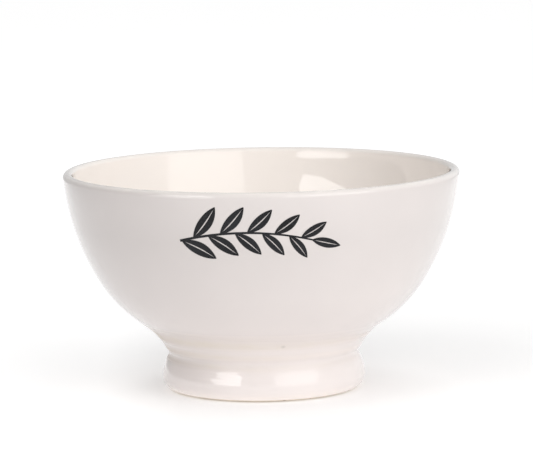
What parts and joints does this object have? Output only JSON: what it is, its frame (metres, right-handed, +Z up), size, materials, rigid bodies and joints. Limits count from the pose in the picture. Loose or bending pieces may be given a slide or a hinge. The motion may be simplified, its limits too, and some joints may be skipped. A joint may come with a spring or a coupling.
{
  "type": "footed bowl",
  "caption": "Round footed drinking bowl for latte, rising in a full curve from a waisted foot ring to a plain rounded rim, white glazed, with a black leaf print on the front.",
  "frame": {"origin": "on the table under the centre of the foot ring", "axes": "+Z up along the axis of the bowl, -Y towards the front with the print, +X to the right as seen from the front"},
  "size_m": [0.144, 0.144, 0.08],
  "materials": {
    "clay": "unglazed fired clay",
    "slip": "unglazed fired slip",
    "outside_glaze": "glossy white glaze",
    "inside_glaze": "glossy warm white glaze",
    "black_print": "fired glossy black print"
  },
  "bodies": {
    "root": {"bowl_body": "clay", "foot_ring": "clay", "slip_seam": "slip", "outside_glaze": "outside_glaze", "inside_glaze": "inside_glaze", "underside_glaze": "inside_glaze", "printed_sprig": "black_print"}
  },
  "joints": []
}
